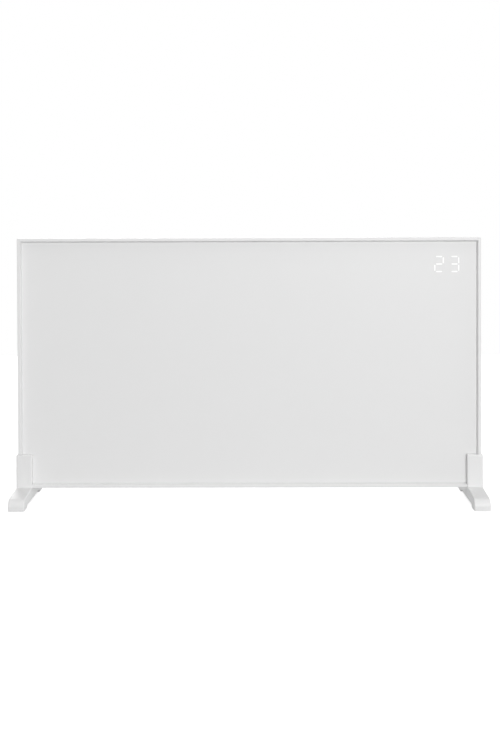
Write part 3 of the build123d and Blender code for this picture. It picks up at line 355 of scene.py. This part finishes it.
# Painted shade: dark grey for the screws' cross recesses, whose steel is darker only by the shade that falls in
# the hollow
painted_recess_shade = coated("screw_recess_painted_shade", (0.10, 0.10, 0.10), 0.55, grain=900.0, bump=0.1, tone=0.3)


def dress_frame_nodes():
    """Gives each carried-over piece the finish of its slot."""
    for row in frame["record"]["subparts"]:
        piece = nodes[row["node"]]
        finish = finishes[row["material_slot"]]
        if not piece.material_slots:
            piece.data.materials.append(finish)
        for place in piece.material_slots:
            place.material = finish


def islands(node):
    """Boxes of the separate solids inside one node, as (low, high) corners."""
    shell = bmesh.new()
    shell.from_mesh(nodes[node].data)
    bmesh.ops.remove_doubles(shell, verts=shell.verts, dist=JOIN_DISTANCE)
    shell.verts.ensure_lookup_table()
    seen = set()
    boxes = []
    for start in shell.verts:
        if start.index in seen:
            continue
        stack = [start]
        seen.add(start.index)
        members = []
        while stack:
            vertex = stack.pop()
            members.append(vertex.co.copy())
            for edge in vertex.link_edges:
                other = edge.other_vert(vertex)
                if other.index not in seen:
                    seen.add(other.index)
                    stack.append(other)
        low = Vector([min(p[axis] for p in members) for axis in range(3)])
        high = Vector([max(p[axis] for p in members) for axis in range(3)])
        boxes.append((low, high))
    shell.free()
    return boxes


def add_prism(shell, outline, base, across, up, depth):
    """Flat closed outline raised by a depth, on a plane given by its base and two directions."""
    normal = across.cross(up)
    bottom = [shell.verts.new(base + across * u + up * v) for u, v in outline]
    top = [shell.verts.new(base + across * u + up * v + normal * depth) for u, v in outline]
    shell.faces.new(list(reversed(bottom)))
    shell.faces.new(top)
    count = len(outline)
    for index in range(count):
        after = (index + 1) % count
        shell.faces.new((bottom[index], bottom[after], top[after], top[index]))


def finish_mesh(shell, name, material, body):
    """Turns the built shell into a piece that rides on its body."""
    bmesh.ops.recalc_face_normals(shell, faces=shell.faces)
    mesh = bpy.data.meshes.new(name)
    shell.to_mesh(mesh)
    shell.free()
    piece = bpy.data.objects.new(name, mesh)
    bpy.context.scene.collection.objects.link(piece)
    mesh.materials.append(material)
    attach(piece, body)
    return piece


def bar(width, height, centre=(0.0, 0.0)):
    """Corners of a rectangle about a centre."""
    x, y = centre
    return [
        (x - width / 2, y - height / 2),
        (x + width / 2, y - height / 2),
        (x + width / 2, y + height / 2),
        (x - width / 2, y + height / 2),
    ]


def arc(radius, angles):
    """Points along an arc."""
    return [(radius * math.cos(angle), radius * math.sin(angle)) for angle in angles]


def ring_sector(radius, start, end, steps=24):
    """Corners of a ring's sector, out along one arc and back along the other."""
    angles = [start + (end - start) * index / steps for index in range(steps + 1)]
    return arc(radius + SIGN_WIDTH / 2, angles) + arc(radius - SIGN_WIDTH / 2, reversed(angles))


def cross_outline(reach, width):
    """Twelve corners of a cross."""
    w = width / 2
    corners = [(w, w), (w, reach), (-w, reach), (-w, w), (-reach, w), (-reach, -w)]
    corners += [(-w, -w), (-w, -reach), (w, -reach), (w, -w), (reach, -w), (reach, w)]
    return corners


def make_screw_recesses():
    """Dark grey crosses of painted shade on the heads of the screws that show on the back, standing in for their
    cross recesses.
    """
    for node in ("rear_cover_screws", "foot_screws", "lid_screws"):
        shell = bmesh.new()
        for low, high in islands(node):
            centre = (low + high) / 2
            reach = (high.x - low.x) * CROSS_REACH
            base = Vector((centre.x, high.y, centre.z))
            outline = cross_outline(reach, reach * CROSS_WIDTH)
            add_prism(shell, outline, base, BACK_ACROSS, UP, SIGN_DEPTH)
        # The crosses stand slightly proud of the head; their dark colour is painted shade for the recess
        finish_mesh(shell, f"{node}_recess", painted_recess_shade, "heater")


def make_key_signs():
    """Plain signs on the four keys: power, plus, minus and a three-bar mode mark."""
    ring = ring_sector(SIGN_REACH * 0.8, math.pi / 2 + POWER_GAP, math.pi * 2.5 - POWER_GAP)
    stroke = bar(SIGN_WIDTH, SIGN_REACH, (0.0, SIGN_REACH * 0.55))
    rows = (-SIGN_REACH * 0.7, 0.0, SIGN_REACH * 0.7)
    signs = {
        "power": [ring, stroke],
        "plus": [cross_outline(SIGN_REACH, SIGN_WIDTH)],
        "minus": [bar(2 * SIGN_REACH, SIGN_WIDTH)],
        "mode": [bar(2 * SIGN_REACH, SIGN_WIDTH, (0.0, row)) for row in rows],
    }
    for key, outlines in signs.items():
        low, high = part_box(f"{key}_button")
        base = Vector((high.x, (low.y + high.y) / 2, (low.z + high.z) / 2))
        shell = bmesh.new()
        for outline in outlines:
            add_prism(shell, outline, base, SIDE_ACROSS, UP, SIGN_DEPTH)
        finish_mesh(shell, f"{key}_sign", sign_print, f"{key}_key")


def make_rocker_signs():
    """Line and ring on the two halves of the rocker, laid on its sloped faces."""
    joint = next(j for j in frame["joints"] if j["name"] == "mains_rock")
    pivot = Vector(joint["pos_m"])
    outward = Vector((math.cos(ROCKER_TILT), 0, math.sin(ROCKER_TILT)))
    along = Vector((-math.sin(ROCKER_TILT), 0, math.cos(ROCKER_TILT)))
    shell = bmesh.new()
    line = [bar(SIGN_WIDTH, ROCKER_LINE)]
    half_turns = ((0, math.pi), (math.pi, 2 * math.pi))
    ring = [ring_sector(ROCKER_RING, start, end, ROCKER_RING_STEPS) for start, end in half_turns]
    for end, outlines in ((1, line), (-1, ring)):
        slope = (along * end * ROCKER_HALF + outward * ROCKER_RISE).normalized()
        base = pivot + outward * ROCKER_CROWN + slope * ROCKER_HALF * ROCKER_SIGN_PLACE
        for outline in outlines:
            add_prism(shell, outline, base, SIDE_ACROSS, slope * end, SIGN_DEPTH)
    finish_mesh(shell, "rocker_signs", sign_pale, "mains_rocker")


def make_floor():
    """Pale floor: white to the camera, and it keeps the heater's shadow."""
    mesh = bpy.data.meshes.new("floor")
    corners = [(x, y, 0) for x, y in bar(2 * FLOOR_HALF, 2 * FLOOR_HALF)]
    mesh.from_pydata(corners, [], [(0, 1, 2, 3)])
    floor = bpy.data.objects.new("floor", mesh)
    bpy.context.scene.collection.objects.link(floor)
    material, tree, shader = start_material("floor_white")
    skin = tree.nodes.new("ShaderNodeGroup")
    skin.node_tree = coat_grain
    skin.inputs["Colour"].default_value = (0.56, 0.56, 0.56, 1.0)
    skin.inputs["Roughness"].default_value = 0.9
    skin.inputs["Tone Spread"].default_value = 0.01
    tree.links.new(skin.outputs["Colour"], shader.inputs["Base Color"])
    tree.links.new(skin.outputs["Roughness"], shader.inputs["Roughness"])
    seen = white_ray_factor(tree)
    glow = math_node(tree, "MULTIPLY", seen, FLOOR_GLOW)
    shader.inputs["Emission Color"].default_value = (1, 1, 1, 1)
    tree.links.new(glow, shader.inputs["Emission Strength"])
    see_from_below(tree, shader)
    mesh.materials.append(material)


def see_from_below(tree, shader):
    """Clears the underside of the floor, so the feet can be looked at from below."""
    clear = tree.nodes.new("ShaderNodeBsdfTransparent")
    side = tree.nodes.new("ShaderNodeNewGeometry").outputs["Backfacing"]
    choice = tree.nodes.new("ShaderNodeMixShader")
    tree.links.new(side, choice.inputs["Fac"])
    tree.links.new(shader.outputs["BSDF"], choice.inputs[1])
    tree.links.new(clear.outputs["BSDF"], choice.inputs[2])
    tree.links.new(choice.outputs["Shader"], tree.nodes["Material Output"].inputs["Surface"])


def white_ray_factor(tree):
    """1 for rays from the camera, a mirror or glass, and 0 for light."""
    path = tree.nodes.new("ShaderNodeLightPath")
    mirrored = math_node(tree, "MAXIMUM", path.outputs["Is Camera Ray"], path.outputs["Is Glossy Ray"])
    return math_node(tree, "MAXIMUM", mirrored, path.outputs["Is Transmission Ray"])


def make_world():
    """White to the eye, and a soft light on the object that is stronger from the right."""
    world = bpy.data.worlds.new("studio")
    bpy.context.scene.world = world
    world.use_nodes = True
    tree = world.node_tree
    seen = white_ray_factor(tree)
    direction = tree.nodes.new("ShaderNodeSeparateXYZ")
    tree.links.new(tree.nodes.new("ShaderNodeTexCoord").outputs["Generated"], direction.inputs[0])
    light = math_node(tree, "MULTIPLY_ADD", direction.outputs["X"], AMBIENT * AMBIENT_SLANT, AMBIENT)
    missing = math_node(tree, "SUBTRACT", 1.0, light)
    strength = math_node(tree, "MULTIPLY_ADD", seen, missing, light)
    tree.links.new(strength, tree.nodes["Background"].inputs["Strength"])
    tree.nodes["Background"].inputs["Color"].default_value = (1, 1, 1, 1)


def add_lamp(name, place, size, power):
    """Square soft lamp aimed at the heater."""
    lamp = bpy.data.lights.new(name, "AREA")
    lamp.energy = power
    lamp.size = size
    holder = bpy.data.objects.new(name, lamp)
    holder.location = place
    holder.rotation_euler = (LAMP_AIM - holder.location).to_track_quat("-Z", "Y").to_euler()
    bpy.context.scene.collection.objects.link(holder)


def add_camera():
    """Camera at the photograph's angle; the shift frames the picture."""
    yaw = math.radians(CAMERA_YAW)
    tilt = math.radians(CAMERA_TILT)
    roll = math.radians(CAMERA_ROLL)
    level = Vector((math.cos(yaw), math.sin(yaw), 0))
    ahead = Vector((-math.sin(yaw) * math.cos(tilt), math.cos(yaw) * math.cos(tilt), -math.sin(tilt)))
    above = level.cross(ahead)
    right = level * math.cos(roll) + above * math.sin(roll)
    up = above * math.cos(roll) - level * math.sin(roll)
    turn = Matrix((right, up, -ahead)).transposed().to_4x4()
    lens = bpy.data.cameras.new("camera")
    lens.sensor_width = SENSOR
    lens.lens = FOCAL_PIXELS * SENSOR / PICTURE_HEIGHT
    lens.shift_y = (AXIS_ROW - PICTURE_HEIGHT / 2) / PICTURE_HEIGHT
    camera = bpy.data.objects.new("camera", lens)
    camera.matrix_world = Matrix.Translation(CAMERA_PLACE) @ turn
    bpy.context.scene.collection.objects.link(camera)
    bpy.context.scene.camera = camera


dress_frame_nodes()
make_screw_recesses()
make_key_signs()
make_rocker_signs()
make_floor()
make_world()
add_lamp("key", place=(2.00, -9.00, 2.80), size=3.2, power=450.0)
add_lamp("side", place=(4.20, -0.60, 0.80), size=1.4, power=18.0)
add_lamp("top", place=(0.20, -0.60, 3.20), size=2.6, power=28.0)
add_lamp("back", place=(-0.60, 3.00, 1.80), size=2.4, power=50.0)
add_camera()
bpy.context.scene.view_settings.view_transform = "Standard"
